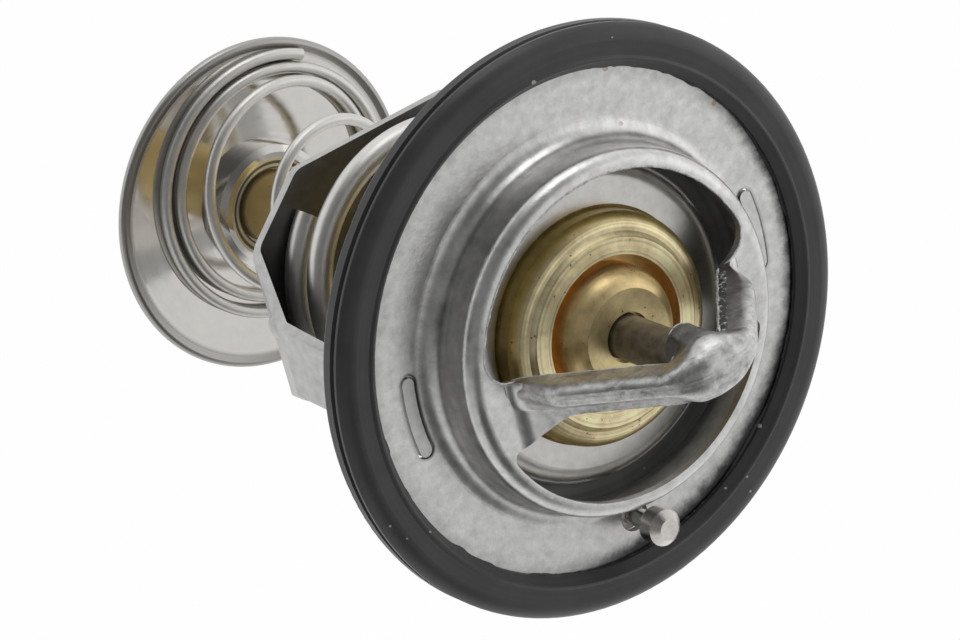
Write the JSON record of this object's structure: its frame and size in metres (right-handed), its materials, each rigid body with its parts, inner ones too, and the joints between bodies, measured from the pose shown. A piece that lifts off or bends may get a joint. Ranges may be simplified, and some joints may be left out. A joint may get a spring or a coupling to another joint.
{
  "type": "engine thermostat",
  "caption": "Engine coolant thermostat: wax element under a bridge, sprung main valve in a gasketed flange, and a sprung bypass disc on the stem.",
  "frame": {"origin": "on the thermostat's axis, in the plane of the flange's front face, inside the gasket's outer band", "axes": "+Z along the axis towards the bridge, X along the bridge, -Y towards the vent pin"},
  "size_m": [0.062, 0.062, 0.0832],
  "materials": {
    "stainless": "satin pressed stainless sheet with fine mottling",
    "gasket_rubber": "black moulded rubber, slightly glossy",
    "piston_steel": "ground dark steel with a film of oil",
    "brass": "turned brass, dull with bright edges",
    "washer_plastic": "plain pale plastic",
    "wax": "copper-filled wax",
    "spring_steel": "smooth drawn wire",
    "polished_steel": "polished stainless"
  },
  "bodies": {
    "frame": {"flange_bridge": "stainless", "rim_gasket": "gasket_rubber", "yoke": "stainless", "piston": "piston_steel", "main_spring": "spring_steel"},
    "element": {"wax_cup": "brass", "guide_cap": "brass", "rubber_sleeve": "gasket_rubber", "piston_washer": "washer_plastic", "wax_charge": "wax", "main_valve_disc": "stainless", "main_valve_seal": "gasket_rubber", "backing_ring": "stainless", "spring_seat": "stainless", "bypass_spring_seat": "stainless", "bypass_spring": "spring_steel", "retaining_clip": "spring_steel"},
    "bypass": {"bypass_disc": "polished_steel"},
    "vent": {"jiggle_pin": "polished_steel", "jiggle_bead": "polished_steel"}
  },
  "joints": [
    {"name": "valve_lift", "type": "slide", "parent": "frame", "child": "element", "axis": [0, 0, -1], "range_m": [0, 0.009], "stiffness_N_per_m": 6000, "springref_m": -0.008, "deforming": ["main_spring"]},
    {"name": "bypass_slide", "type": "slide", "parent": "element", "child": "bypass", "axis": [0, 0, 1], "range_m": [0, 0.005], "stiffness_N_per_m": 1200, "springref_m": -0.005, "deforming": ["bypass_spring"]},
    {"name": "vent_slide", "type": "slide", "parent": "frame", "child": "vent", "axis": [0, 0, -1], "range_m": [0, 0.0033]}
  ]
}
